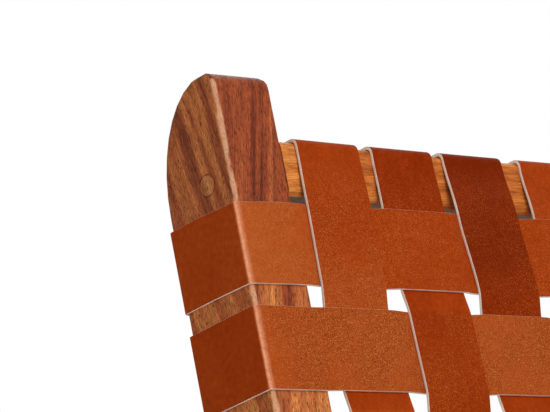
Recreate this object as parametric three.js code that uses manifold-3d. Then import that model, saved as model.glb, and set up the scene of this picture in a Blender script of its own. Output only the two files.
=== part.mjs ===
// Lounge chair: a solid wood frame with a back and a seat of woven leather straps.
// Millimetres, +Z up, origin on the floor under the middle of the chair. The front faces -Y.
// Left is -X, the viewer's left from the front.
import * as THREE from 'three';
import { mergeVertices } from 'three/addons/utils/BufferGeometryUtils.js';
import Module from 'manifold-3d';

const wasm = await Module();
wasm.setup();

// Leather straps: long ones run up the back or along the seat, cross ones run from side to side
const STRAP_WIDTH = 50;
const STRAP_THICKNESS = 2;
const STRAP_GAP = 13.5;
const LONG_STRAPS = 8;
const BACK_CROSS_STRAPS = 6;
const SEAT_CROSS_STRAPS = 7;
const SIDE_GAP = 7.5; // post or seat rail to the nearest long strap
const RAIL_GAP = 6; // cross rail to the nearest cross strap
const LONG_TAIL = 18; // long strap's tail on the hidden face of a cross rail
const CROSS_TAIL = 26; // cross strap's tail on the hidden face of a post or seat rail

// Posts and seat rails, cut from the same stock
const STOCK_WIDTH = 44.5;
const STOCK_DEPTH = 58;
const EDGE_ROUND = 2.5;
const END_OUTER_CORNER = 4; // rounding of a free end's outer corner, seen from the sitter's side
const END_INNER_CORNER = 10; // and of its corner towards the chair's middle
const END_ROLL = 9; // rounding of a free end's front corner, seen from the chair's side
const END_FLAT = 2; // flat part of a free end, between its front corner and its large rounding
const POST_END_ROUND = 72;
const SEAT_END_ROUND = 28;
const BACK_LEAN = 16.3; // degrees from upright
const SEAT_SLOPE = 8; // degrees down towards the back
const SEAT_FRONT_HEIGHT = 390;

// Lower part of a rear post
const REAR_FOOT_DEPTH = 38;
const REAR_FOOT_BACK = 98; // back of the foot behind the corner where seat and back meet
const KINK_DROP = 10; // bend of the post's back face below that corner
const KINK_ROUND = 80;

// Front legs
const LEG_TOP_DEPTH = 44;
const LEG_FOOT_DEPTH = 34;
const LEG_FOOT_FORWARD = 16; // front of the foot ahead of the front of the leg's top
const LEG_STRAP_GAP = 5; // leg to the first cross strap of the seat

// Cross rails
const END_TO_RAIL = 40.5; // free end of a post or seat rail to the first cross rail
const CORNER_GAP = 31; // last cross rail to the corner where seat and back meet
const RAIL_HEIGHT = 34;
const RAIL_DEPTH = 39;
const RAIL_ROUND = 4;
const RAIL_SETBACK = 1; // rail's ends behind the front of their posts
const RAIL_BOW = 4.5; // at the rail's middle, away from the sitter

// Tenons
const RAIL_TENON_LENGTH = 16;
const RAIL_TENON_HEIGHT = 16;
const RAIL_TENON_THICKNESS = 14;
const SEAT_TENON_LENGTH = 24;
const SEAT_TENON_HEIGHT = 34;
const SEAT_TENON_THICKNESS = 18;
const LEG_TENON_LENGTH = 16;
const LEG_TENON_DEPTH = 26;
const LEG_TENON_THICKNESS = 18;

// Screws, wood plugs and glides
const SCREW_DIAMETER = 6;
const SCREW_LENGTH = 60; // under the head
const SCREW_POINT = 6;
const SCREW_HEAD_DIAMETER = 11;
const SCREW_HEAD_HEIGHT = 4;
const SCREW_OFFSET = 7; // from the rail's middle towards the cross straps
const PLUG_DIAMETER = 13;
const PLUG_LENGTH = 8;
const GLIDE_DIAMETER = 24;
const GLIDE_HEIGHT = 5;
const GLIDE_STEM_DIAMETER = 5;
const GLIDE_STEM_LENGTH = 14;

// Clearance kept between pieces that touch, and the overrun of cutting tools
const FIT_GAP = 0.3;
const OVERRUN = 2;

// Facets: per rounded edge, along a bowed rail, round a free end and its corners, round each turned piece
const EDGE_STEPS = 3;
const RAIL_STEPS = 12;
const END_STEPS = 9;
const END_CORNER_STEPS = 5;
const END_ROLL_STEPS = 5;
const PLUG_SIDES = 24;
const SCREW_SIDES = 10;
const GLIDE_SIDES = 16;

const WALNUT = { color: 0x7d4528, roughness: 0.45, metalness: 0 };
const HONEY = { color: 0xc07c38, roughness: 0.45, metalness: 0 };
const PLUG_WOOD = { color: 0x8c5330, roughness: 0.5, metalness: 0 };
const LEATHER = { color: 0xa0441a, roughness: 0.5, metalness: 0 };
const STEEL = { color: 0xa8a8a4, roughness: 0.35, metalness: 1 };
const NYLON = { color: 0x2b2724, roughness: 0.6, metalness: 0 };

// Sizes that follow from the driving ones
const pitch = STRAP_WIDTH + STRAP_GAP;
const insideHalf = (LONG_STRAPS * pitch - STRAP_GAP) / 2 + SIDE_GAP;
const outsideHalf = insideHalf + STOCK_WIDTH;
const strapOffset = FIT_GAP + STRAP_THICKNESS / 2; // strap's middle layer to what it lies on
const weave = (STRAP_THICKNESS + FIT_GAP) / 2; // rise and fall of a strap from the weave's middle
const lean = THREE.MathUtils.degToRad(BACK_LEAN);
const slope = THREE.MathUtils.degToRad(SEAT_SLOPE);
const railMiddle = RAIL_SETBACK + RAIL_DEPTH / 2; // behind the front of the posts, where a rail meets them

// A woven panel lies in its own frame: x across, n (y) away from the sitter, l (z) towards its free end,
// with l = 0 at the free end of the posts or seat rails and n = 0 on their front or top face.
function panelLayout(crossStraps, railNames, strapNames) {
  const firstRail = -END_TO_RAIL - RAIL_HEIGHT / 2;
  const firstStrap = firstRail - RAIL_HEIGHT / 2 - RAIL_GAP - STRAP_WIDTH / 2;
  const lastStrap = firstStrap - (crossStraps - 1) * pitch;
  const lastRail = lastStrap - STRAP_WIDTH / 2 - RAIL_GAP - RAIL_HEIGHT / 2;
  const rails = [
    { name: railNames[0], middle: firstRail, inward: -1 },
    { name: railNames[1], middle: lastRail, inward: 1 },
  ];
  const length = -lastRail + RAIL_HEIGHT / 2 + CORNER_GAP;
  return { crossStraps, rails, strapNames, firstStrap, length };
}

const back = panelLayout(BACK_CROSS_STRAPS, ['top_rail', 'lower_back_rail'], 'back');
const seat = panelLayout(SEAT_CROSS_STRAPS, ['front_rail', 'rear_seat_rail'], 'seat');

// The chair's frame has its origin at the corner where seat and back meet
const backAlong = new THREE.Vector2(Math.sin(lean), Math.cos(lean));
const backAway = new THREE.Vector2(Math.cos(lean), -Math.sin(lean));
const seatAlong = new THREE.Vector2(-Math.cos(slope), Math.sin(slope));
const seatAway = new THREE.Vector2(-Math.sin(slope), -Math.cos(slope));
const floor = seat.length * Math.sin(slope) - SEAT_FRONT_HEIGHT;
const footCut = floor + GLIDE_HEIGHT + FIT_GAP;

function sidePoint(along, away, length, n, l) {
  return along.clone().multiplyScalar(length + l).addScaledVector(away, n);
}

function backPoint(n, l) {
  return sidePoint(backAlong, backAway, back.length, n, l);
}

function seatPoint(n, l) {
  return sidePoint(seatAlong, seatAway, seat.length, n, l);
}

// Solids: three.js geometry made closed, joined and cut
function toSolid(geometry) {
  const bare = geometry.clone();
  bare.deleteAttribute('normal');
  bare.deleteAttribute('uv');
  const merged = mergeVertices(bare, 1e-4);
  const index = merged.index.array;
  const triVerts = [];
  for (let k = 0; k < index.length; k += 3) {
    const [a, b, c] = [index[k], index[k + 1], index[k + 2]];
    if (a !== b && b !== c && c !== a) triVerts.push(a, b, c);
  }
  const vertProperties = new Float32Array(merged.attributes.position.array);
  const mesh = new wasm.Mesh({ numProp: 3, vertProperties, triVerts: new Uint32Array(triVerts) });
  return new wasm.Manifold(mesh);
}

function fromSolid(solid) {
  const { vertProperties, triVerts } = solid.getMesh();
  const geometry = new THREE.BufferGeometry();
  geometry.setAttribute('position', new THREE.BufferAttribute(vertProperties, 3));
  geometry.setIndex(new THREE.BufferAttribute(triVerts, 1));
  geometry.computeVertexNormals();
  return geometry;
}

function shaped(geometry, { joins = [], cuts = [] } = {}) {
  let solid = toSolid(geometry);
  for (const piece of joins) solid = solid.add(toSolid(piece));
  for (const tool of cuts) solid = solid.subtract(toSolid(tool));
  return fromSolid(solid);
}

function named(name, geometry, finish) {
  const mesh = new THREE.Mesh(geometry, new THREE.MeshStandardMaterial(finish));
  mesh.name = name;
  return mesh;
}

// Outline from corners [point, radius], each rounded by a tangent arc
function softened(corners) {
  return corners.flatMap(([corner, radius], k) => {
    if (!radius) return [corner];
    const before = corners.at(k - 1)[0].clone().sub(corner).normalize();
    const after = corners[(k + 1) % corners.length][0].clone().sub(corner).normalize();
    const half = Math.acos(before.dot(after)) / 2;
    const centre = before.clone().add(after).setLength(radius / Math.sin(half)).add(corner);
    const start = before.multiplyScalar(radius / Math.tan(half)).add(corner).sub(centre);
    const end = after.multiplyScalar(radius / Math.tan(half)).add(corner).sub(centre);
    const sweep = Math.atan2(start.cross(end), start.dot(end));
    const steps = Array.from({ length: EDGE_STEPS + 1 }, (_, step) => (sweep * step) / EDGE_STEPS);
    return steps.map((turn) => start.clone().rotateAround(new THREE.Vector2(), turn).add(centre));
  });
}

// Prism across the chair from a side outline (n, l), with its long edges rounded
const OUTLINE_TO_FRAME = new THREE.Matrix4().makeBasis(
  new THREE.Vector3(0, 1, 0),
  new THREE.Vector3(0, 0, 1),
  new THREE.Vector3(1, 0, 0),
);

function prism(outline, width, round, steps = 1) {
  const geometry = new THREE.ExtrudeGeometry(new THREE.Shape(outline), {
    depth: width - 2 * round,
    steps,
    bevelEnabled: round > 0,
    bevelThickness: round,
    bevelSize: round,
    bevelOffset: -round,
    bevelSegments: EDGE_STEPS,
  });
  geometry.translate(0, 0, round - width / 2);
  return geometry.applyMatrix4(OUTLINE_TO_FRAME);
}

function block([xLow, xHigh], [nLow, nHigh], [lLow, lHigh], grow = 0) {
  const geometry = new THREE.BoxGeometry(
    xHigh - xLow + 2 * grow,
    nHigh - nLow + 2 * grow,
    lHigh - lLow + 2 * grow,
  );
  return geometry.translate((xLow + xHigh) / 2, (nLow + nHigh) / 2, (lLow + lHigh) / 2);
}

function around(middle, size) {
  return [middle - size / 2, middle + size / 2];
}

// Turned piece along +x from a profile of [x, radius] points that starts and ends on the axis
function turned(profile, sides) {
  const points = profile.map(([x, radius]) => new THREE.Vector2(radius, x));
  return new THREE.LatheGeometry(points, sides).rotateZ(-Math.PI / 2);
}

function rod(from, to, diameter, sides) {
  const radius = diameter / 2;
  return turned([[from, 0], [from, radius], [to, radius], [to, 0]], sides);
}

function quarterTurns(steps) {
  return Array.from({ length: steps + 1 }, (_, k) => (Math.PI / 2) * (k / steps));
}

// Free end of a post or seat rail: a rolled front corner, a short flat, a large rounding to the far face
function freeEnd(place, roundLength) {
  const start = END_ROLL + END_FLAT;
  const depth = STOCK_DEPTH - start;
  const roll = quarterTurns(END_ROLL_STEPS).map((turn) =>
    place(END_ROLL * (1 - Math.cos(turn)), END_ROLL * (Math.sin(turn) - 1)));
  const curve = quarterTurns(END_STEPS).map((turn) =>
    place(start + depth * Math.sin(turn), roundLength * (Math.cos(turn) - 1)));
  return [...roll, ...curve].map((point) => [point, 0]);
}

// Tools that round the two corners of a free end, for a bar with its middle at x
function endCorners(middle) {
  return [-1, 1].map((side) => {
    const radius = side * middle > 0 ? END_OUTER_CORNER : END_INNER_CORNER;
    const inner = STOCK_WIDTH / 2 - radius;
    const outer = STOCK_WIDTH / 2 + OVERRUN;
    const arc = quarterTurns(END_CORNER_STEPS).map((turn) =>
      [inner + radius * Math.sin(turn), radius * (Math.cos(turn) - 1)]);
    const outline = [...arc, [outer, -radius], [outer, OVERRUN], [inner, OVERRUN]];
    const shape = new THREE.Shape(outline.map(([x, l]) => new THREE.Vector2(side * x, l)));
    const depth = STOCK_DEPTH + 2 * OVERRUN;
    const tool = new THREE.ExtrudeGeometry(shape, { depth, bevelEnabled: false });
    return tool.rotateX(Math.PI / 2).translate(middle, depth - OVERRUN, 0);
  });
}

// Screw joint at the end of a cross rail. x runs inwards from the outer face of the post or seat rail.
const headSeat = PLUG_LENGTH + SCREW_HEAD_HEIGHT + 2 * FIT_GAP;
const headTop = PLUG_LENGTH + FIT_GAP;
const screwTip = headTop + SCREW_HEAD_HEIGHT + SCREW_LENGTH;
const screwHole = SCREW_DIAMETER + 2 * FIT_GAP;

function screwLine(rail) {
  return rail.middle + rail.inward * SCREW_OFFSET;
}

function endPlacement(side, rail) {
  const turn = new THREE.Matrix4().makeRotationZ(side > 0 ? Math.PI : 0);
  return turn.setPosition(side * outsideHalf, railMiddle, screwLine(rail));
}

function railSockets(panel, side) {
  const tenonStart = STOCK_WIDTH - RAIL_TENON_LENGTH;
  return panel.rails.flatMap((rail) => {
    const tools = [
      rod(-OVERRUN, headSeat, PLUG_DIAMETER + 2 * FIT_GAP, PLUG_SIDES),
      rod(-OVERRUN, STOCK_WIDTH, screwHole, SCREW_SIDES),
      block(
        [tenonStart, STOCK_WIDTH + OVERRUN],
        around(0, RAIL_TENON_THICKNESS),
        around(0, RAIL_TENON_HEIGHT),
        FIT_GAP,
      ),
    ];
    return tools.map((tool) => tool.applyMatrix4(endPlacement(side, rail)));
  });
}

function screw() {
  const head = SCREW_HEAD_DIAMETER / 2;
  const shank = SCREW_DIAMETER / 2;
  const under = headTop + SCREW_HEAD_HEIGHT;
  const profile = [
    [headTop, 0], [headTop, head], [under, head], [under, shank],
    [screwTip - SCREW_POINT, shank], [screwTip, 0],
  ];
  return shaped(turned(profile, SCREW_SIDES));
}

function plug() {
  return shaped(rod(0, PLUG_LENGTH, PLUG_DIAMETER, PLUG_SIDES));
}

// Front face of a cross rail: just behind the front of its posts, bowed away from the sitter between them
function railFront(x) {
  const share = Math.min(Math.abs(x) / insideHalf, 1);
  return RAIL_SETBACK + RAIL_BOW * (1 - share ** 2);
}

function crossRail(rail) {
  const [low, high] = around(rail.middle, RAIL_HEIGHT);
  const corners = [[0, low], [RAIL_DEPTH, low], [RAIL_DEPTH, high], [0, high]];
  const outline = softened(corners.map(([n, l]) => [new THREE.Vector2(n, l), RAIL_ROUND]));
  const shoulder = insideHalf - FIT_GAP;
  const bar = prism(outline, 2 * shoulder, 0, RAIL_STEPS);
  const position = bar.attributes.position;
  for (let k = 0; k < position.count; k += 1) {
    position.setY(k, position.getY(k) + railFront(position.getX(k)));
  }
  const joins = [];
  const cuts = [];
  for (const side of [-1, 1]) {
    const placement = endPlacement(side, rail);
    const tenon = block(
      [STOCK_WIDTH - RAIL_TENON_LENGTH, STOCK_WIDTH + FIT_GAP + OVERRUN],
      around(0, RAIL_TENON_THICKNESS),
      around(0, RAIL_TENON_HEIGHT),
    );
    joins.push(tenon.applyMatrix4(placement));
    cuts.push(rod(0, screwTip + OVERRUN, screwHole, SCREW_SIDES).applyMatrix4(placement));
  }
  return shaped(bar, { joins, cuts });
}

// Strap: a ribbon along a path of [run, n] points, as wide as the strap. place turns a run, a depth n,
// an offset across the strap and the number of the path's point into a point of the panel.
function ribbon(path, place) {
  const points = path.map(([run, n]) => new THREE.Vector2(run, n));
  const last = points.length - 1;
  const headings = points.slice(1).map((point, k) => point.clone().sub(points[k]).normalize());
  const corners = [[-1, -1], [1, -1], [1, 1], [-1, 1]];
  const vertices = points.flatMap((point, k) => {
    const heading = headings[Math.max(k - 1, 0)];
    const next = headings[Math.min(k, last - 1)];
    const middle = heading.clone().add(next).normalize();
    const mitre = STRAP_THICKNESS / 2 / middle.dot(heading);
    return corners.flatMap(([edge, face]) => {
      const run = point.x - middle.y * mitre * face;
      const n = point.y + middle.x * mitre * face;
      return place(run, n, (edge * STRAP_WIDTH) / 2, k);
    });
  });
  const index = [0, 1, 2, 0, 2, 3];
  for (let k = 0; k < last; k += 1) {
    for (let side = 0; side < 4; side += 1) {
      const [a, b] = [4 * k + side, 4 * k + ((side + 1) % 4)];
      index.push(a, a + 4, b + 4, a, b + 4, b);
    }
  }
  const end = 4 * last;
  index.push(end, end + 2, end + 1, end, end + 3, end + 2);
  const geometry = new THREE.BufferGeometry();
  geometry.setAttribute('position', new THREE.Float32BufferAttribute(vertices, 3));
  geometry.setIndex(index);
  return geometry;
}

// Arc of a strap round an edge, in degrees from +run towards +n
function wrap(run, n, radius, from, to) {
  return Array.from({ length: EDGE_STEPS + 1 }, (_, k) => {
    const turn = THREE.MathUtils.degToRad(from + ((to - from) * k) / EDGE_STEPS);
    return [run + radius * Math.cos(turn), n + radius * Math.sin(turn)];
  });
}

// A strap lies over (towards the sitter) where long and cross numbers add up to an even number
function weaveLevel(over) {
  return -strapOffset + (over ? -weave : weave);
}

function longStrapMiddle(k) {
  return (k - (LONG_STRAPS - 1) / 2) * pitch;
}

// A long strap runs straight from a rail's outer edge to the weave, unless it would cut the rail's face:
// then it lies on the face up to the rail's inner edge.
function liesOnRail(k, row) {
  const [left, right] = around(longStrapMiddle(k), STRAP_WIDTH);
  return weaveLevel((k + row) % 2 === 0) > Math.min(railFront(left), railFront(right)) - strapOffset;
}

function longStrap(panel, k) {
  const [first, last] = panel.rails.map((rail) => rail.middle);
  const radius = RAIL_ROUND + strapOffset;
  const flat = RAIL_HEIGHT / 2 - RAIL_ROUND;
  const top = first + flat;
  const bottom = last - flat;
  const front = RAIL_ROUND;
  const rear = RAIL_DEPTH - RAIL_ROUND;
  const reach = STRAP_WIDTH / 2 + FIT_GAP;
  const path = [[top - LONG_TAIL, rear + radius]];
  path.push(...wrap(top, rear, radius, 90, 0), ...wrap(top, front, radius, 0, -90));
  if (liesOnRail(k, 0)) path.push([first - flat, -strapOffset]);
  const weaveStart = path.length;
  for (let row = 0; row < panel.crossStraps; row += 1) {
    const middle = panel.firstStrap - row * pitch;
    const level = weaveLevel((k + row) % 2 === 0);
    path.push([middle + reach, level], [middle - reach, level]);
  }
  const weaveEnd = path.length;
  if (liesOnRail(k, panel.crossStraps - 1)) path.push([last + flat, -strapOffset]);
  path.push(...wrap(bottom, front, radius, 270, 180), ...wrap(bottom, rear, radius, 180, 90));
  path.push([bottom + LONG_TAIL, rear + radius]);
  const middle = longStrapMiddle(k);
  return ribbon(path, (run, n, across, point) => {
    const x = middle - across;
    const onRail = point < weaveStart || point >= weaveEnd;
    return [x, onRail ? n + railFront(x) : n, run];
  });
}

function crossStrap(panel, row) {
  const radius = EDGE_ROUND + strapOffset;
  const edge = outsideHalf - EDGE_ROUND;
  const rear = STOCK_DEPTH - EDGE_ROUND;
  const reach = STRAP_WIDTH / 2 + FIT_GAP;
  const path = [[-edge + CROSS_TAIL, rear + radius]];
  path.push(...wrap(-edge, rear, radius, 90, 180), ...wrap(-edge, EDGE_ROUND, radius, 180, 270));
  path.push([-insideHalf, -strapOffset]);
  for (let k = 0; k < LONG_STRAPS; k += 1) {
    const level = weaveLevel((k + row) % 2 !== 0);
    path.push([longStrapMiddle(k) - reach, level], [longStrapMiddle(k) + reach, level]);
  }
  path.push([insideHalf, -strapOffset]);
  path.push(...wrap(edge, EDGE_ROUND, radius, -90, 0), ...wrap(edge, rear, radius, 0, 90));
  path.push([edge - CROSS_TAIL, rear + radius]);
  const middle = panel.firstStrap - row * pitch;
  return ribbon(path, (run, n, across) => [run, n, middle + across]);
}

function sideName(side) {
  return side < 0 ? 'left' : 'right';
}

// Panel group with its rails, screws, plugs and straps. flip is -1 where the panel's x runs to the left.
function wovenPanel(panel, flip) {
  const group = new THREE.Group();
  for (const rail of panel.rails) {
    group.add(named(rail.name, crossRail(rail), HONEY));
    for (const side of [-1, 1]) {
      const label = sideName(side * flip);
      const fixings = [
        named(`${rail.name}_screw_${label}`, screw(), STEEL),
        named(`${rail.name}_plug_${label}`, plug(), PLUG_WOOD),
      ];
      for (const fixing of fixings) {
        fixing.applyMatrix4(endPlacement(side, rail));
        group.add(fixing);
      }
    }
  }
  for (let k = 0; k < LONG_STRAPS; k += 1) {
    group.add(named(`${panel.strapNames}_long_strap_${k + 1}`, shaped(longStrap(panel, k)), LEATHER));
  }
  for (let row = 0; row < panel.crossStraps; row += 1) {
    group.add(named(`${panel.strapNames}_cross_strap_${row + 1}`, shaped(crossStrap(panel, row)), LEATHER));
  }
  return group;
}

const backGroup = wovenPanel(back, 1);
const backTop = backPoint(0, 0);
backGroup.position.set(0, backTop.x, backTop.y);
backGroup.rotation.x = -lean;
backGroup.updateMatrix();

const seatGroup = wovenPanel(seat, -1);
const seatFront = seatPoint(0, 0);
seatGroup.position.set(0, seatFront.x, seatFront.y);
seatGroup.rotation.set(Math.PI / 2 - slope, 0, Math.PI);
seatGroup.updateMatrix();

// Joint between a seat rail and its post, and between a front leg and its seat rail, in the seat's frame
const legBack = seat.firstStrap + STRAP_WIDTH / 2 + LEG_STRAP_GAP;
const legFront = legBack + LEG_TOP_DEPTH;

function seatTenon(middle, grow) {
  return block(
    around(middle, SEAT_TENON_THICKNESS),
    around(STOCK_DEPTH / 2, SEAT_TENON_HEIGHT),
    [-seat.length - SEAT_TENON_LENGTH, -seat.length + OVERRUN],
    grow,
  );
}

function legTenon(middle, grow) {
  return block(
    around(middle, LEG_TENON_THICKNESS),
    [STOCK_DEPTH - LEG_TENON_LENGTH, STOCK_DEPTH + OVERRUN],
    around((legFront + legBack) / 2, LEG_TENON_DEPTH),
    grow,
  );
}

function seatRail(side) {
  const middle = side * (insideHalf + STOCK_WIDTH / 2);
  const rearEnd = -seat.length + FIT_GAP;
  const flat = (n, l) => new THREE.Vector2(n, l);
  const outline = softened([
    ...freeEnd(flat, SEAT_END_ROUND),
    [flat(STOCK_DEPTH, rearEnd), 0],
    [flat(0, rearEnd), 0],
  ]);
  const bar = prism(outline, STOCK_WIDTH, EDGE_ROUND).translate(middle, 0, 0);
  const cuts = [...railSockets(seat, side), ...endCorners(middle), legTenon(middle, FIT_GAP)];
  return shaped(bar, { joins: [seatTenon(middle, 0)], cuts });
}

function glideHole(x, y) {
  const bore = GLIDE_STEM_DIAMETER + 2 * FIT_GAP;
  const hole = rod(-OVERRUN, GLIDE_STEM_LENGTH + FIT_GAP, bore, GLIDE_SIDES);
  return hole.rotateY(-Math.PI / 2).translate(x, y, footCut);
}

function glide() {
  const disc = GLIDE_DIAMETER / 2;
  const stem = GLIDE_STEM_DIAMETER / 2;
  const tip = GLIDE_HEIGHT + GLIDE_STEM_LENGTH;
  const profile = [[0, 0], [0, disc], [GLIDE_HEIGHT, disc], [GLIDE_HEIGHT, stem], [tip, stem], [tip, 0]];
  return shaped(turned(profile, GLIDE_SIDES));
}

const rearFootMiddle = REAR_FOOT_BACK - REAR_FOOT_DEPTH / 2;
const frontFoot = seatPoint(STOCK_DEPTH, legFront).x - LEG_FOOT_FORWARD;
const frontFootMiddle = frontFoot + LEG_FOOT_DEPTH / 2;

function rearPost(side) {
  const middle = side * (insideHalf + STOCK_WIDTH / 2);
  const outline = softened([
    ...freeEnd(backPoint, POST_END_ROUND),
    [backPoint(STOCK_DEPTH, -back.length - KINK_DROP), KINK_ROUND],
    [new THREE.Vector2(REAR_FOOT_BACK, footCut), 0],
    [new THREE.Vector2(REAR_FOOT_BACK - REAR_FOOT_DEPTH, footCut), 0],
    [seatPoint(STOCK_DEPTH, -seat.length), 0],
    [new THREE.Vector2(0, 0), 0],
  ]);
  const plank = prism(outline, STOCK_WIDTH, EDGE_ROUND).translate(middle, 0, 0);
  const backTools = [...railSockets(back, side), ...endCorners(middle)];
  const seatSocket = seatTenon(-middle, FIT_GAP).applyMatrix4(seatGroup.matrix);
  const cuts = backTools.map((tool) => tool.applyMatrix4(backGroup.matrix));
  return shaped(plank, { cuts: [...cuts, seatSocket, glideHole(middle, rearFootMiddle)] });
}

function frontLeg(side) {
  const middle = side * (insideHalf + STOCK_WIDTH / 2);
  const top = STOCK_DEPTH + FIT_GAP;
  const outline = [
    seatPoint(top, legFront),
    seatPoint(top, legBack),
    new THREE.Vector2(frontFoot + LEG_FOOT_DEPTH, footCut),
    new THREE.Vector2(frontFoot, footCut),
  ];
  const leg = prism(outline, STOCK_WIDTH, EDGE_ROUND).translate(middle, 0, 0);
  const tenon = legTenon(-middle, 0).applyMatrix4(seatGroup.matrix);
  return shaped(leg, { joins: [tenon], cuts: [glideHole(middle, frontFootMiddle)] });
}

const chair = new THREE.Group();
chair.add(backGroup, seatGroup);
for (const side of [-1, 1]) {
  const label = sideName(side);
  const middle = side * (insideHalf + STOCK_WIDTH / 2);
  chair.add(named(`rear_post_${label}`, rearPost(side), WALNUT));
  chair.add(named(`front_leg_${label}`, frontLeg(side), WALNUT));
  seatGroup.add(named(`seat_rail_${label}`, seatRail(-side), WALNUT));
  for (const [place, y] of [['front', frontFootMiddle], ['rear', rearFootMiddle]]) {
    const foot = named(`${place}_glide_${label}`, glide(), NYLON);
    foot.position.set(middle, y, floor);
    foot.rotation.y = -Math.PI / 2;
    chair.add(foot);
  }
}

// Stand the chair on the floor, centred on the origin
const extent = new THREE.Box3().setFromObject(chair, true);
chair.position.set(0, -(extent.min.y + extent.max.y) / 2, -floor);

const lounge = new THREE.Group();
lounge.name = 'woven_strap_lounge_chair';
lounge.add(chair);

export default lounge;
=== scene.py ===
"""Looks of a lounge chair with a solid wood frame and a woven leather back and seat.

Metres, +Z up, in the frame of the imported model. The front faces -Y and left is -X.
"""

import logging
import math
import re
from abc import ABC, abstractmethod
from collections.abc import Callable, Sequence
from dataclasses import dataclass
from enum import Enum, IntEnum
from itertools import accumulate, pairwise
from typing import Any

import bmesh
import bpy
from mathutils import Matrix, Quaternion, Vector


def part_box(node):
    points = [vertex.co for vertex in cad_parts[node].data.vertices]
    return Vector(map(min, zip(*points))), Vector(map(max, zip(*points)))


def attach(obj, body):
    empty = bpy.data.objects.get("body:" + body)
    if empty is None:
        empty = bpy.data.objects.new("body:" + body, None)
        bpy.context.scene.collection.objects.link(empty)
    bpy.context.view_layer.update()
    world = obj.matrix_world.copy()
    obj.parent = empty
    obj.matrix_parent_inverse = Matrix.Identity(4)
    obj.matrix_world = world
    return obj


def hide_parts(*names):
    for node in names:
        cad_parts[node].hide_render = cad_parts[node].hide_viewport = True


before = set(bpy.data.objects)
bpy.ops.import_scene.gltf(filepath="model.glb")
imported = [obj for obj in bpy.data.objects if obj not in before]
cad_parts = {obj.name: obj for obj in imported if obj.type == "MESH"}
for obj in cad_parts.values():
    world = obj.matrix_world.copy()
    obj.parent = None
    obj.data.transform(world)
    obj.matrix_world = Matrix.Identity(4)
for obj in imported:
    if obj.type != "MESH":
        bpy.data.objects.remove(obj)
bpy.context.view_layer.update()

BODY = "root"
LOG = logging.getLogger("chair")

BACK_LEAN = math.radians(16.3)
SEAT_SLOPE = math.radians(8.0)

Colour = tuple[float, float, float, float]
Triple = tuple[float, float, float]
Span = tuple[float, float]


def colour(code: int) -> Colour:
    """Turns a screen colour, 0xRRGGBB, into the linear values that sockets take."""
    shares = [((code >> shift) & 0xFF) / 255 for shift in (16, 8, 0)]
    return (*(s / 12.92 if s <= 0.04045 else ((s + 0.055) / 1.055) ** 2.4 for s in shares), 1.0)


def eased(value: float, low: float, high: float) -> float:
    """Gives the smoothed share of the way from low to high, 0 before it and 1 after it."""
    share = min(1.0, max(0.0, (value - low) / (high - low)))
    return share * share * (3 - 2 * share)


def even(size: float) -> Triple:
    """Gives the same size along each axis."""
    return (size, size, size)


class Signal:
    """What leaves a shader socket. Arithmetic on values adds Math nodes."""

    def __init__(self, shader: "Shader", socket: bpy.types.NodeSocket) -> None:
        """Keeps the socket and the tree that it belongs to."""
        self.shader = shader
        self.socket = socket

    def _math(self, operation: str, *terms: "Term") -> "Signal":
        """Adds a Math node over the terms."""
        return self.shader.node("ShaderNodeMath", {"operation": operation}, dict(enumerate(terms)))

    def __add__(self, other: "Term") -> "Signal":
        """Gives self + other."""
        return self._math("ADD", self, other)

    def __radd__(self, other: "Term") -> "Signal":
        """Gives other + self."""
        return self._math("ADD", other, self)

    def __sub__(self, other: "Term") -> "Signal":
        """Gives self - other."""
        return self._math("SUBTRACT", self, other)

    def __rsub__(self, other: "Term") -> "Signal":
        """Gives other - self."""
        return self._math("SUBTRACT", other, self)

    def __mul__(self, other: "Term") -> "Signal":
        """Gives self * other."""
        return self._math("MULTIPLY", self, other)

    def __rmul__(self, other: "Term") -> "Signal":
        """Gives other * self."""
        return self._math("MULTIPLY", other, self)

    def __abs__(self) -> "Signal":
        """Gives the size of self."""
        return self._math("ABSOLUTE", self)

    def sine(self) -> "Signal":
        """Gives the sine of self."""
        return self._math("SINE", self)

    def at_least(self, low: float, blend: float) -> "Signal":
        """Gives self, or low where self is less, with a smooth turn between them."""
        return self._math("SMOOTH_MAX", self, low, blend)

    def rise(self, low: float, high: float) -> "Signal":
        """Rises smoothly from 0 where self is low to 1 where it is high."""
        settings = {"interpolation_type": "SMOOTHSTEP"}
        return self.shader.node("ShaderNodeMapRange", settings, {0: self, 1: low, 2: high})


Term = Signal | float


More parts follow.
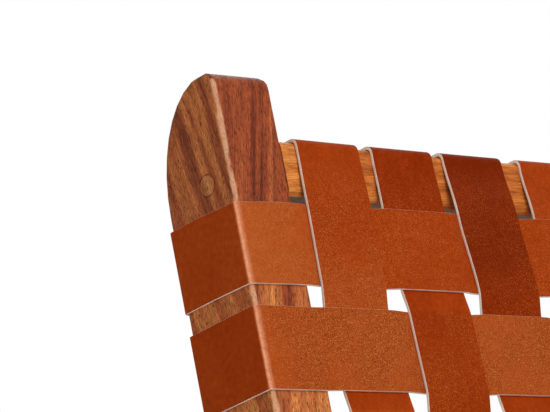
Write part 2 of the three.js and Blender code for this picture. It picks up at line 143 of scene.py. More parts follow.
class Shader:
    """A node tree that is being built."""

    def __init__(self, tree: bpy.types.NodeTree) -> None:
        """Empties the tree."""
        tree.nodes.clear()
        self.tree = tree

    def node(
        self,
        kind: str,
        settings: dict[str, Any] | None = None,
        sockets: dict[str | int, Any] | None = None,
        output: str | int = 0,
    ) -> Signal:
        """Adds one node.

        Args:
            kind: The node's type.
            settings: Its own settings, which are set first.
            sockets: A value or a signal for each socket, by name or number.
            output: The output to hand on.

        Returns:
            The signal of that output.
        """
        made = self.tree.nodes.new(kind)
        for name, value in (settings or {}).items():
            setattr(made, name, value)
        for name, value in (sockets or {}).items():
            if isinstance(value, Signal):
                self.tree.links.new(value.socket, made.inputs[name])
            else:
                made.inputs[name].default_value = value
        return Signal(self, made.outputs[output])

    def end(self, kind: str, signal: Signal) -> None:
        """Ends the tree in an output node, whose first socket takes the signal."""
        self.tree.links.new(signal.socket, self.tree.nodes.new(kind).inputs[0])

    def place(self, kind: str = "Object") -> Signal:
        """Gives the point of the surface, by default in the object's own frame."""
        return self.node("ShaderNodeTexCoord", output=kind)

    def normal(self) -> Signal:
        """Gives the direction that the surface faces."""
        return self.node("ShaderNodeNewGeometry", output="Normal")

    def own(self, name: str) -> Signal:
        """Reads a value that the mesh itself holds."""
        return self.node("ShaderNodeAttribute", {"attribute_name": name}, None, "Fac")

    def part(self, vector: Signal, axis: str) -> Signal:
        """Gives one part of a vector."""
        return self.node("ShaderNodeSeparateXYZ", None, {0: vector}, axis)

    def ramp(self, share: Signal, places: Sequence[float], shades: Sequence[Colour]) -> Signal:
        """Adds a colour ramp.

        Args:
            share: Where the ramp is read.
            places: Places of its stops, in order.
            shades: Their colours.

        Returns:
            The colour there.
        """
        read = self.node("ShaderNodeValToRGB", None, {0: share})
        elements = read.socket.node.color_ramp.elements
        while len(elements) < len(places):
            elements.new(1.0)
        for element, place, shade in zip(elements, places, shades):
            element.position, element.color = place, shade
        return read

    def vector(self, operation: str, *terms: Any) -> Signal:
        """Adds a Vector Math node over the terms."""
        return self.node("ShaderNodeVectorMath", {"operation": operation}, dict(enumerate(terms)))

    def mix(self, share: Term, under: Any, over: Any, mode: str = "MIX") -> Signal:
        """Mixes two colours, with the share of the second one that shows."""
        settings = {"data_type": "RGBA", "blend_type": mode}
        return self.node("ShaderNodeMix", settings, {0: share, 6: under, 7: over}, 2)

    def noise(
        self, place: Signal, sizes: Triple, detail: float = 2.0, output: str | int = 0
    ) -> Signal:
        """Gives cloudy noise, mostly near 0.5.

        Args:
            place: Where it is read.
            sizes: Size of its patches along each axis.
            detail: Number of finer layers.
            output: The texture's output, its value or its colour.

        Returns:
            The noise.
        """
        spread = self.vector("MULTIPLY", place, [1 / size for size in sizes])
        sockets = {"Vector": spread, "Scale": 1.0, "Detail": detail}
        return self.node("ShaderNodeTexNoise", None, sockets, output)

    def shaken(self, place: Signal, sizes: Triple, reach: Triple) -> Signal:
        """Shifts a point by noise in patches of the given sizes, as far as its reach."""
        cloud = self.noise(place, sizes, output="Color")
        return self.vector("MULTIPLY_ADD", cloud, reach, place)

    def bump(self, height: Signal, depth: float, strength: float) -> Signal:
        """Turns a height from 0 to 1 into a normal, with the share of its depth that shows."""
        sockets = {"Height": height, "Distance": depth, "Strength": strength}
        return self.node("ShaderNodeBump", None, sockets)


@dataclass(frozen=True)
class Finish(ABC):
    """A finish of the chair, which makes one material."""

    name: str

    @abstractmethod
    def surface(self, shader: Shader) -> dict[str, Any]:
        """Gives the values and signals of the surface's sockets."""

    def material(self) -> bpy.types.Material:
        """Makes the material.

        Returns:
            A new material with this finish.
        """
        made = bpy.data.materials.new(self.name)
        made.use_nodes = True
        shader = Shader(made.node_tree)
        skin = shader.node("ShaderNodeBsdfPrincipled", None, self.surface(shader))
        shader.end("ShaderNodeOutputMaterial", skin)
        return made


class Grain(Enum):
    """Run of the wood's grain, as the turn that stands it upright."""

    POST = (BACK_LEAN, 0.0, 0.0)
    SEAT_RAIL = (math.pi / 2 + SEAT_SLOPE, 0.0, 0.0)
    LEG = (0.0, 0.0, 0.0)
    CROSS_RAIL = (0.0, -math.pi / 2, 0.0)


@dataclass(frozen=True)
class WoodTones:
    """Colours of a streaked wood, from its darkest lines to its sapwood."""

    line: Colour
    dark: Colour
    middle: Colour
    light: Colour
    sap_dark: Colour
    sap_light: Colour
    # Pale colour of worn edges, which also paints their highlight
    worn_and_highlit: Colour = colour(0xDEA882)


@dataclass(frozen=True)
class EdgeWearAndHighlight:
    """Broken pale wear along an outer front edge, with a painted highlight in it.

    The spans of worn wood and of the darker wood beside it are counted in widths of the edge.
    """

    front: float
    width: float = 0.0025
    strength: float = 0.92
    speckle: Triple = (0.0006, 0.0006, 0.0012)
    speckle_span: Span = (0.35, 0.62)
    rubbing: Triple = (0.006, 0.006, 0.014)
    side_weight: float = 0.75
    behind_weight: float = 1.3
    speckle_weight: float = 0.7
    rubbing_weight: float = 1.5
    unevenness_middle: float = 0.8
    worn_and_highlit_span: Span = (0.95, 1.4)
    beside_span: Span = (1.4, 1.7)
    beside_end: Span = (2.0, 4.5)
    beside_strength: float = 0.15

    def paint(
        self, shader: Shader, side: Signal, upright: Signal, shade: Signal, tones: WoodTones
    ) -> Signal:
        """Adds the wear with its painted highlight, and the darker wood beside it.

        Args:
            shader: The tree to build in.
            side: Depth of the point under the chair's outer side.
            upright: The point of the surface with the part upright.
            shade: The wood's colour.
            tones: The wood's colours.

        Returns:
            The colour with the wear and painted highlight.
        """
        behind = shader.part(upright, "Y") - self.front
        speckle = shader.noise(upright, self.speckle)
        rubbing = shader.noise(upright, self.rubbing, 3.0)
        uneven = speckle * self.speckle_weight + rubbing * self.rubbing_weight - self.unevenness_middle
        reach = side * self.side_weight + behind * self.behind_weight + uneven * self.width
        spans = (self.worn_and_highlit_span, self.beside_span, self.beside_end)
        past, beside, clear = (reach.rise(low * self.width, high * self.width) for low, high in spans)
        shade = shader.mix((beside - clear) * self.beside_strength, shade, tones.dark)
        # Pale worn band along the edge, partly a painted highlight
        worn_and_highlit = (1.0 - past) * (speckle.rise(*self.speckle_span) * 0.5 + 0.5)
        return shader.mix(worn_and_highlit * self.strength, shade, tones.worn_and_highlit)


@dataclass(frozen=True)
class StreakedWood(Finish):
    """Oiled hardwood with colour bands, dark streaks, fibres and short open pores.

    Patch sizes are given through the wood's layers, over their width and along the grain.
    """

    tones: WoodTones
    grain: Grain
    wear_and_highlight: EdgeWearAndHighlight | None = None
    knee: float | None = None
    knee_turn: float = 0.46
    knee_round: float = 0.06
    slant: Triple = (0.12, -0.12, -math.pi / 4)
    grain_start: Triple = (0.217, 0.399, 5.81)
    drift: Triple = (0.05, 0.05, 0.15)
    drift_reach: Triple = (0.006, 0.006, 0.0)
    band: Triple = (0.0050, 0.044, 0.30)
    streak: Triple = (0.0023, 0.022, 0.25)
    streak_strength: float = 0.58
    fibre: Triple = (0.0008, 0.0008, 0.012)
    pore: Triple = (0.0005, 0.0005, 0.0036)
    pore_strength: float = 0.70
    mark_span: Span = (0.54, 0.66)
    heart_places: tuple[float, ...] = (0.34, 0.46, 0.55, 0.68)
    sap_places: Span = (0.36, 0.62)
    sap_calm: float = 0.45
    silk_places: Span = (0.3, 0.7)
    silk_dark: Colour = (0.66, 0.62, 0.58, 1.0)
    silk_light: Colour = (1.30, 1.28, 1.24, 1.0)
    end_span: Span = (0.45, 0.95)
    end_strength: float = 0.55
    outer_face: float = 0.29925
    sapwood_depth: float = 0.004
    sapwood_span: Span = (0.5, 1.3)
    sapwood_wave: float = 0.30
    sapwood_start: float = 0.772
    patch: Triple = (0.012, 0.012, 0.16)
    patch_depth: float = 1.7
    patch_wave: float = 0.22
    patch_span: Span = (0.5, 0.72)
    smoothness: float = 0.32
    gloss: float = 0.06
    relief: float = 0.00025

    def surface(self, shader: Shader) -> dict[str, Any]:
        """Builds bands, streaks, fibres and pores along the grain.

        Args:
            shader: The tree to build in.

        Returns:
            The surface's sockets.
        """
        place = shader.place()
        upright = self._upright(shader, place)
        bent = self._along_grain(shader, place)
        bands = shader.noise(bent, self.band, 3.0)
        streaks = shader.noise(bent, self.streak).rise(*self.mark_span)
        fibres = shader.noise(bent, self.fibre)
        pores = shader.noise(bent, self.pore, 1.0).rise(*self.mark_span)

        tones = self.tones
        hearts = (tones.dark, tones.middle, tones.middle, tones.light)
        heart = shader.ramp(bands, self.heart_places, hearts)
        sap = shader.ramp(bands, self.sap_places, (tones.sap_dark, tones.sap_light))
        golden = self._sapwood(shader, place, upright, bent)
        shade = shader.mix(golden, heart, sap)
        marks = streaks * (1.0 - golden * self.sap_calm) * self.streak_strength
        shade = shader.mix(marks, shade, tones.dark)
        silk = shader.ramp(fibres, self.silk_places, (self.silk_dark, self.silk_light))
        shade = shader.mix(1.0, shade, silk, "MULTIPLY")
        shade = shader.mix(pores * self.pore_strength, shade, tones.line)
        shade = shader.mix(self._end_grain(shader) * self.end_strength, shade, tones.line)
        return {
            "Base Color": self._marked(shader, place, upright, shade),
            "Roughness": fibres * 0.16 + pores * 0.25 + self.smoothness,
            "Specular IOR Level": self.gloss,
            "Normal": shader.bump(fibres * 0.4 + (1.0 - pores) * 0.6, self.relief, 0.5),
        }

    def _upright(self, shader: Shader, vector: Signal) -> Signal:
        """Turns a point or a direction with the part's grain upright."""
        return shader.node("ShaderNodeMapping", None, {"Vector": vector, "Rotation": self.grain.value})

    def _along_grain(self, shader: Shader, place: Signal) -> Signal:
        """Follows the slanted, slightly wandering grain.

        Args:
            shader: The tree to build in.
            place: The point of the surface.

        Returns:
            The point in the grain, whose fibres run along Z.
        """
        straight = self._upright(shader, self._unbent(shader, place))
        lay = {"Vector": straight, "Rotation": self.slant, "Location": self.grain_start}
        slanted = shader.node("ShaderNodeMapping", None, lay)
        return shader.shaken(slanted, self.drift, self.drift_reach)

    def _unbent(self, shader: Shader, place: Signal) -> Signal:
        """Straightens a post below its knee, so that the grain follows the leg there.

        Args:
            shader: The tree to build in.
            place: The point of the surface.

        Returns:
            The point of the straightened post.
        """
        if self.knee is None:
            return place
        below = (self.knee - shader.part(place, "Z")).at_least(0.0, self.knee_round)
        sockets = {0: (0.0, -self.knee_turn, 0.0), "Scale": below}
        shift = shader.node("ShaderNodeVectorMath", {"operation": "SCALE"}, sockets)
        return shader.vector("ADD", place, shift)

    def _end_grain(self, shader: Shader) -> Signal:
        """Gives how far a face is cut across the grain, where the wood takes more oil."""
        return abs(shader.part(self._upright(shader, shader.normal()), "Z")).rise(*self.end_span)

    def _under_side(self, shader: Shader, place: Signal) -> Signal:
        """Gives the depth of a point under the chair's outer side."""
        return self.outer_face - abs(shader.part(place, "X"))

    def _sapwood(self, shader: Shader, place: Signal, upright: Signal, bent: Signal) -> Signal:
        """Gives how much golden sapwood shows.

        Args:
            shader: The tree to build in.
            place: The point of the surface.
            upright: The same point with the part upright.
            bent: The same point along the bent grain.

        Returns:
            A share that is high under the chair's outer sides and in patches along the grain.
        """
        depth = self._under_side(shader, place) * (1 / self.sapwood_depth)
        patches = shader.noise(bent, self.patch)
        outside = 1.0 - (depth + patches * self.patch_depth).rise(*self.sapwood_span)
        turn = 2 * math.pi / self.sapwood_wave
        wave = (shader.part(upright, "Z") * turn - self.sapwood_start * turn).sine()
        inside = (patches - wave * self.patch_wave).rise(*self.patch_span)
        return (outside + inside).rise(0.0, 1.0)

    def _marked(self, shader: Shader, place: Signal, upright: Signal, shade: Signal) -> Signal:
        """Adds the marks of the part's use.

        Args:
            shader: The tree to build in.
            place: The point of the surface.
            upright: The same point with the part upright.
            shade: The wood's colour.

        Returns:
            The colour with the wear and painted highlight of its edge, where it has one.
        """
        if self.wear_and_highlight is None:
            return shade
        return self.wear_and_highlight.paint(shader, self._under_side(shader, place), upright, shade, self.tones)


@dataclass(frozen=True)
class RailWood(StreakedWood):
    """Wood of a cross rail, with painted shade on its faces that look down."""

    underside_shade: Colour = colour(0x6E5B4C)
    underside_shade_strength: float = 0.8
    underside_shade_span: Span = (0.75, 0.95)

    def _marked(self, shader: Shader, place: Signal, upright: Signal, shade: Signal) -> Signal:
        """Paints shade on the faces that look down."""
        down = (0.0 - shader.part(shader.normal(), "Z")).rise(*self.underside_shade_span)
        return shader.mix(down * self.underside_shade_strength, shade, self.underside_shade)


@dataclass(frozen=True)
class PlugWood(StreakedWood):
    """Wood of a turned plug, with glue darkening its rim."""

    rim_span: Span = (0.43, 0.49)
    rim_strength: float = 0.55

    def _marked(self, shader: Shader, place: Signal, upright: Signal, shade: Signal) -> Signal:
        """Darkens the rim of the plug's round face.

        Args:
            shader: The tree to build in.
            place: The point of the surface. Not used here.
            upright: The same point with the part upright. Not used here.
            shade: The wood's colour.

        Returns:
            The colour with the dark rim.
        """
        inside = shader.place("Generated")
        spoke = shader.vector("MULTIPLY_ADD", inside, (0.0, 1.0, 1.0), (0.0, -0.5, -0.5))
        reach = shader.node("ShaderNodeVectorMath", {"operation": "LENGTH"}, {0: spoke}, "Value")
        return shader.mix(reach.rise(*self.rim_span) * self.rim_strength, shade, self.tones.line)


@dataclass(frozen=True)
class GrainLeather(Finish):
    """Smooth side of a strap: cognac leather, creases with painted shade, flecks as painted glints, a
    mottled dye and worn bends with a painted highlight.
    """

    deepest: Colour = colour(0x701E02)
    deep: Colour = colour(0x872802)
    warm: Colour = colour(0xA63F0E)
    faded: Colour = colour(0xB85E2A)
    # Pale flecks that paint glints of the grain
    glint_fleck: Colour = colour(0xD07A3C)
    # Pale peach of worn bends, which also paints their highlight
    worn_and_highlit: Colour = colour(0xF4A880)
    dye_places: tuple[float, ...] = (0.0, 0.25, 0.62, 1.0)
    pebble: float = 0.0012
    pebble_warp: float = 0.0024
    pebble_shift: float = 0.0009
    crease_span: Span = (0.0, 0.25)
    crease_shade_strength: float = 0.45
    speck: float = 0.00065
    dark_span: Span = (0.32, 0.48)
    dark_strength: float = 0.5
    pale_span: Span = (0.52, 0.68)
    glint_strength: float = 0.6
    fine: float = 0.0005
    mottle: float = 0.0035
    broad: float = 0.035
    broad_span: Span = (0.35, 0.60)
    patchy_span: Span = (0.35, 0.6)
    smoothness: float = 0.36
    gloss: float = 0.02
    sheen: Colour = (1.0, 0.50, 0.16, 1.0)
    relief: float = 0.00032
    outer_face: float = 0.3013
    wear_and_highlight_runs: Span = (0.0, 0.0050)
    wear_and_highlight_strength: float = 0.65
    turned_span: Span = (0.6, 0.9)

    def surface(self, shader: Shader) -> dict[str, Any]:
        """Builds the creases with painted shade, painted glints, the mottling and the worn bends with
        their painted highlight.

        Args:
            shader: The tree to build in.

        Returns:
            The surface's sockets.
        """
        place = shader.place()
        shaken = shader.shaken(place, even(self.pebble_warp), even(self.pebble_shift))
        cells = shader.node(
            "ShaderNodeTexVoronoi", {"feature": "DISTANCE_TO_EDGE"},
            {"Vector": shaken, "Scale": 1 / self.pebble},
        )
        pebbles = cells.rise(*self.crease_span)
        fine = shader.noise(place, even(self.fine))
        mottle = shader.noise(place, even(self.mottle), 3.0)
        broad = shader.noise(place, even(self.broad), 3.0)
        specks = shader.noise(shaken, even(self.speck), 1.0)
        rough = (broad.rise(*self.broad_span) * 0.5 + 0.5) * shader.own("grainy")

        # The tone attribute holds painted shade as well as the dye's tone
        dye_and_shade = shader.own("tone") + broad * 0.5 + mottle * 0.6 + fine * 0.3 - 0.7
        dyes = (self.deepest, self.deep, self.warm, self.faded)
        shade = shader.ramp(dye_and_shade * 0.75 + 0.25, self.dye_places, dyes)
        # Painted shade in the creases between the pebbles
        crease_shade = (1.0 - pebbles) * rough * self.crease_shade_strength
        dark = (1.0 - specks.rise(*self.dark_span)) * rough * self.dark_strength
        # Pale flecks, painted glints of the grain
        pale = specks.rise(*self.pale_span) * rough * self.glint_strength
        for share, over in ((crease_shade, self.deep), (dark, self.deep), (pale, self.glint_fleck)):
            shade = shader.mix(share, shade, over)
        patchy = fine.rise(*self.patchy_span) * 0.3 + mottle.rise(*self.patchy_span) * 0.2 + 0.5
        return {
            # Worn bends, partly a painted highlight, over the dyed colour
            "Base Color": shader.mix(self._rubbed_and_highlit(shader, place) * patchy, shade, self.worn_and_highlit),
            "Roughness": mottle * 0.2 + (1.0 - pebbles) * 0.12 + self.smoothness,
            "Specular IOR Level": self.gloss,
            "Specular Tint": self.sheen,
            "Normal": shader.bump((pebbles * 0.6 + fine * 0.4) * rough, self.relief, 0.85),
        }

    def _rubbed_and_highlit(self, shader: Shader, place: Signal) -> Signal:
        """Gives the wear and painted highlight of a bend round the chair's outer edge, which fade out
        over the front.

        Args:
            shader: The tree to build in.
            place: The point of the surface.

        Returns:
            A share from 0 to 1.
        """
        bend = shader.own("worn_and_highlit")
        turned = abs(shader.part(shader.normal(), "X")).rise(*self.turned_span)
        fading = 1.0 - (self.outer_face - abs(shader.part(place, "X"))).rise(*self.wear_and_highlight_runs)
        return bend + (1.0 - bend) * (1.0 - turned) * fading * self.wear_and_highlight_strength


@dataclass(frozen=True)
class RawLeather(Finish):
    """Undyed leather: the cut edges and the flesh side of a strap."""

    pale: Colour
    deep: Colour
    fibre: float = 0.0005
    cloud: float = 0.012
    pale_span: Span = (0.3, 0.7)

    def surface(self, shader: Shader) -> dict[str, Any]:
        """Builds a felted, matt surface.

        Args:
            shader: The tree to build in.

        Returns:
            The surface's sockets.
        """
        place = shader.place()
        felt = shader.noise(place, even(self.fibre), 3.0)
        cloud = shader.noise(place, even(self.cloud), 3.0)
        share = (felt * 0.6 + cloud * 0.4).rise(*self.pale_span)
        return {
            "Base Color": shader.mix(share, self.deep, self.pale),
            "Roughness": felt * 0.15 + 0.78,
            "Specular IOR Level": 0.15,
            "Normal": shader.bump(felt, 0.0003, 0.6),
        }


@dataclass(frozen=True)
class BrushedSteel(Finish):
    """Plated steel of the screws and tacks."""

    bright: Colour = colour(0xB9B2A6)
    dull: Colour = colour(0x7C746A)
    tarnish: float = 0.003
    tarnish_span: Span = (0.35, 0.7)
    scratch: Triple = (0.0004, 0.0004, 0.004)

    def surface(self, shader: Shader) -> dict[str, Any]:
        """Builds a lightly tarnished metal.

        Args:
            shader: The tree to build in.

        Returns:
            The surface's sockets.
        """
        place = shader.place()
        tarnish = shader.noise(place, even(self.tarnish), 4.0)
        scratches = shader.noise(place, self.scratch)
        return {
            "Base Color": shader.mix(tarnish.rise(*self.tarnish_span), self.bright, self.dull),
            "Metallic": 1.0,
            "Roughness": tarnish * 0.3 + scratches * 0.1 + 0.18,
            "Normal": shader.bump(scratches, 0.00005, 0.3),
        }


@dataclass(frozen=True)
class MouldedNylon(Finish):
    """Dark moulded plastic of the glides, scuffed underneath."""

    base: Colour = colour(0x2E2925)
    scuffed: Colour = colour(0x5A534C)
    texture: float = 0.0005
    scuff: Triple = (0.0015, 0.006, 0.003)
    scuff_span: Span = (0.55, 0.75)

    def surface(self, shader: Shader) -> dict[str, Any]:
        """Builds a fine moulded texture with pale scuffs.

        Args:
            shader: The tree to build in.

        Returns:
            The surface's sockets.
        """
        place = shader.place()
        texture = shader.noise(place, even(self.texture))
        scuffs = shader.noise(place, self.scuff, 4.0).rise(*self.scuff_span)
        return {
            "Base Color": shader.mix(scuffs * 0.5, self.base, self.scuffed),
            "Roughness": texture * 0.2 + scuffs * 0.15 + 0.4,
            "Normal": shader.bump(texture, 0.0001, 0.4),
        }


@dataclass(frozen=True)
class PaleFloor(Finish):
    """Plain pale floor, even and matt."""

    base: Colour

    def surface(self, shader: Shader) -> dict[str, Any]:
        """Gives one colour and a low gloss all over."""
        return {"Base Color": self.base, "Roughness": 0.9, "Specular IOR Level": 0.1}


@dataclass(frozen=True)
class PanelFrame:
    """Frame of a woven panel: x across, n away from the sitter, l towards its free end."""

    origin: Vector
    across: Vector
    away: Vector
    along: Vector
    length: float

    def at(self, x: float, n: float, l: float) -> Vector:
        """Gives a point of the panel in the shared frame."""
        return self.origin + x * self.across + n * self.away + l * self.along


@dataclass(frozen=True)
class ChairSizes:
    """Sizes that the straps share with the frame."""

    strap_width: float = 0.050
    strap_thickness: float = 0.0021
    strap_gap: float = 0.0135
    tail_share: float = 0.7
    long_straps: int = 8
    back_rows: int = 6
    seat_rows: int = 7
    side_gap: float = 0.0075
    rail_gap: float = 0.006
    long_tail: float = 0.018
    cross_tail: float = 0.026
    stock_width: float = 0.0445
    stock_depth: float = 0.058
    edge_round: float = 0.0025
    end_to_rail: float = 0.0405
    corner_gap: float = 0.031
    rail_height: float = 0.034
    rail_depth: float = 0.039
    rail_setback: float = 0.001
    rail_round: float = 0.004
    rail_bow: float = 0.0045
    fit_gap: float = 0.0003
    lay_gap: float = 0.0001
    rear_foot_middle: float = 0.079
    seat_front_height: float = 0.390

    @property
    def pitch(self) -> float:
        """Middle of one strap to the middle of the next."""
        return self.strap_width + self.strap_gap

    @property
    def inside_half(self) -> float:
        """Middle of the chair to the inner face of a post."""
        return (self.long_straps * self.pitch - self.strap_gap) / 2 + self.side_gap

    @property
    def outside_half(self) -> float:
        """Middle of the chair to the outer face of a post."""
        return self.inside_half + self.stock_width

    @property
    def strap_offset(self) -> float:
        """A strap's middle layer to what it lies on."""
        return self.lay_gap + self.strap_thickness / 2

    @property
    def tail_thickness(self) -> float:
        """Thickness of a cross strap's thinned tail."""
        return self.strap_thickness * self.tail_share

    @property
    def cross_tail_end(self) -> float:
        """Middle of the chair to the end of a cross strap's tail."""
        return self.outside_half - self.edge_round - self.cross_tail

    @property
    def rail_flat(self) -> float:
        """Middle of a cross rail to the end of its flat face."""
        return self.rail_height / 2 - self.rail_round

    @property
    def weave(self) -> float:
        """Rise and fall of a strap from the weave's middle."""
        return (self.strap_thickness + self.fit_gap) / 2

    def rail_front(self, x: float) -> float:
        """Gives the depth of a cross rail's bowed front at x."""
        share = min(1.0, abs(x) / self.inside_half)
        return self.rail_setback + self.rail_bow * (1 - share * share)

    def panel_length(self, cross_straps: int) -> float:
        """Gives the length of a panel from its free end to the corner of seat and back."""
        woven = cross_straps * self.pitch - self.strap_gap
        return self.end_to_rail + self.corner_gap + 2 * (self.rail_height + self.rail_gap) + woven


class StrapSide(IntEnum):
    """Sides of a strap, which are its material slots in this order."""

    GRAIN = 0
    EDGE = 1
    FLESH = 2


@dataclass(frozen=True)
class StrapLook:
    """How light a strap's dye is near its ends and in its middle, and how grainy its face is."""

    ends: float
    middle: float
    grainy: float


@dataclass(frozen=True)
class StrapStop:
    """A stop along a strap.

    It holds how far the face looks to the front, the distance from the strap's nearer end,
    and the share that another strap covers.
    """

    facing: float
    depth: float
    cover: float


Corner = tuple[float, float, float]


@dataclass
class StrapPath:
    """Middle line of a strap: corners (run, n, radius), each rounded by a tangent arc."""

    corners: list[Corner]
    arc_step: float = math.radians(9.0)
    arc_room: float = 0.49
    straight_step: float = 0.004
    support: float = 0.0003
    least_turn: float = 1e-4

    def points(self) -> list[Vector]:
        """Follows the corners.

        Returns:
            Points (run, n) along the path, close enough for a smooth strap.
        """
        spots = [Vector(corner[:2]) for corner in self.corners]
        rounded = [spots[0]]
        for before, spot, after, corner in zip(spots, spots[1:], spots[2:], self.corners[1:]):
            rounded += self._arc(before, spot, after, corner[2])
        rounded.append(spots[-1])
        dense = [rounded[0]]
        for start, end in pairwise(rounded):
            length = (end - start).length
            dense += [start.lerp(end, stop / length) for stop in self._stops(length)]
        return dense

    def length(self) -> float:
        """Gives the length of the strap."""
        return sum((end - start).length for start, end in pairwise(self.points()))

    def _stops(self, length: float) -> list[float]:
        """Divides a straight stretch, with one stop close to each of its ends.

        Args:
            length: Length of the stretch.

        Returns:
            Distances of the stops from its start, the last of them its end.
        """
        inner = length - 2 * self.support
        if inner < 2 * self.support:
            return [length]
        parts = math.ceil(inner / self.straight_step)
        return [self.support + inner * part / parts for part in range(parts + 1)] + [length]

    def _arc(self, before: Vector, corner: Vector, after: Vector, radius: float) -> list[Vector]:
        """Rounds one corner.

        Args:
            before: The point before the corner.
            corner: The corner.
            after: The point after it.
            radius: Radius of the arc.

        Returns:
            Points of the arc, or the corner alone where the path runs straight on.
        """
        inward = (before - corner).normalized()
        onward = (after - corner).normalized()
        turn = math.pi - inward.angle(onward)
        if turn < self.least_turn:
            return [corner]
        room = self.arc_room * min((before - corner).length, (after - corner).length)
        radius = min(radius, room / math.tan(turn / 2))
        centre = corner + (inward + onward).normalized() * (radius / math.cos(turn / 2))
        start = corner + inward * (radius * math.tan(turn / 2)) - centre
        side = math.copysign(1.0, inward.y * onward.x - inward.x * onward.y)
        steps = max(2, math.ceil(turn / self.arc_step))
        turns = [side * turn * step / steps for step in range(steps + 1)]
        return [centre + Matrix.Rotation(angle, 2) @ start for angle in turns]


Section = list[tuple[float, float, StrapSide]]


@dataclass
class Strap:
    """One leather strap: a ribbon with softened edges along a path."""

    name: str
    path: StrapPath
    grain_side: float
    place: Callable[[float, float, float], Vector]
    look: StrapLook
    wear_and_highlight: float
    width: float
    thickness: float
    tail_share: float
    covered: Callable[[float], float] | None = None
    covered_shade_tone: float = 0.33
    covered_grain: float = 0.2
    turned_shade_tone: float = -0.35
    turned_grain: float = 0.2
    end_grain: float = 0.3
    worn_and_highlit_start: Span = (0.24, 0.72)
    worn_and_highlit_end: Span = (0.72, 0.985)
    tail_runs: Span = (0.030, 0.085)
    tone_runs: Span = (0.10, 0.21)
    grain_runs: Span = (0.065, 0.115)
    edge_round: float = 0.0004
    support: float = 0.0012
    face_parts: int = 6
    corner_parts: int = 4
    dyed_parts: int = 2

    def section(self) -> Section:
        """Draws the strap's cross-section, clockwise from the left end of its grain side.

        Returns:
            Points (across, height) round the section, each with the side that starts there.
        """
        across = self.width / 2 - self.edge_round
        up = self.thickness / 2 - self.edge_round
        inner = across - self.support
        shares = [2 * part / self.face_parts - 1 for part in range(self.face_parts + 1)]
        grain = [(inner * share, self.thickness / 2) for share in shares]
        flesh = [(-s, -t) for s, t in grain]
        starts = ((across, up, 90.0), (across, -up, 0.0), (-across, -up, -90.0), (-across, up, 180.0))
        corners = [self._corner(*start) for start in starts]
        parts, dyed = self.corner_parts, self.dyed_parts
        sides = [StrapSide.GRAIN] * (len(grain) + dyed)
        sides += [StrapSide.EDGE] * (2 * parts - dyed + 1)
        sides += [StrapSide.FLESH] * (len(flesh) + 1)
        sides += [StrapSide.EDGE] * (2 * parts - dyed + 1)
        sides += [StrapSide.GRAIN] * (dyed + 1)
        points = grain + corners[0] + corners[1] + flesh + corners[2] + corners[3]
        return [(s, t, side) for (s, t), side in zip(points, sides)]

    def _corner(self, s: float, t: float, start: float) -> list[tuple[float, float]]:
        """Rounds one corner of the section, turning clockwise.

        Args:
            s: Place of the arc's centre across the strap.
            t: Its height.
            start: Direction of the arc's first point, in degrees.

        Returns:
            The arc's points.
        """
        parts = self.corner_parts
        turns = [math.radians(start - 90.0 * part / parts) for part in range(parts + 1)]
        return [(s + self.edge_round * math.cos(a), t + self.edge_round * math.sin(a)) for a in turns]

    def build(self) -> bpy.types.Object:
        """Sweeps the section along the path.

        Returns:
            The strap's object, a closed mesh with its three sides as material slots.
        """
        points = self.path.points()
        ring = self.section()
        normals = self._normals(points)
        runs = [0.0, *accumulate((end - start).length for start, end in pairwise(points))]
        stops = []
        vertices = []
        for point, normal, run in zip(points, normals, runs):
            cover = self.covered(point.x) if self.covered else 0.0
            stop = StrapStop(max(0.0, -normal.y), min(run, runs[-1] - run), cover)
            stops.append(stop)
            share = self.tail_share + (1 - self.tail_share) * eased(stop.depth, *self.tail_runs)
            spots = [point + normal * (t * share) for _, t, _ in ring]
            vertices += [self.place(spot.x, spot.y, s) for spot, (s, _, _) in zip(spots, ring)]
        made = self._mesh(vertices, ring)
        for name, look in (("tone", self._tone), ("grainy", self._grainy), ("worn_and_highlit", self._bend_wear_and_highlight)):
            values = [value for value in map(look, stops) for _ in ring]
            made.attributes.new(name, "FLOAT", "POINT").data.foreach_set("value", values)
        return linked(self.name, made)

    def _normals(self, points: list[Vector]) -> list[Vector]:
        """Finds the directions that the strap's grain side faces.

        Args:
            points: Points along the path.

        Returns:
            The unit normal at each point.
        """
        headings = [(end - start).normalized() for start, end in pairwise(points)]
        neighbours = zip(headings[:1] + headings, headings + headings[-1:])
        middles = [before + after for before, after in neighbours]
        return [Vector((-middle.y, middle.x)).normalized() * self.grain_side for middle in middles]

    def _tone(self, stop: StrapStop) -> float:
        """Gives the tone of the dye, with painted shade where the face turns away from the front.

        Args:
            stop: A stop along the strap.

        Returns:
            The tone there, pulled towards one fixed tone as painted shade where a cross strap covers it.
        """
        faded = self.look.ends + (self.look.middle - self.look.ends) * eased(stop.depth, *self.tone_runs)
        # Painted shade where a cross strap covers this strap and just past it
        kept = (self.covered_shade_tone - faded) * stop.cover
        # Painted shade on faces that turn away from the front
        return faded + kept + self.turned_shade_tone * (1 - stop.facing)

    def _grainy(self, stop: StrapStop) -> float:
        """Gives how grainy the face is, which is less where it turns, is covered or is near an end.

        Args:
            stop: A stop along the strap.

        Returns:
            The graininess there.
        """
        facing = self.turned_grain + (1 - self.turned_grain) * stop.facing
        used = 1 + (self.covered_grain - 1) * stop.cover
        inside = self.end_grain + (1 - self.end_grain) * eased(stop.depth, *self.grain_runs)
        return self.look.grainy * facing * used * inside

    def _bend_wear_and_highlight(self, stop: StrapStop) -> float:
        """Gives the wear and painted highlight where the face turns from the chair's side to its front.
        """
        return self.wear_and_highlight * eased(stop.facing, *self.worn_and_highlit_start) * (1 - eased(stop.facing, *self.worn_and_highlit_end))

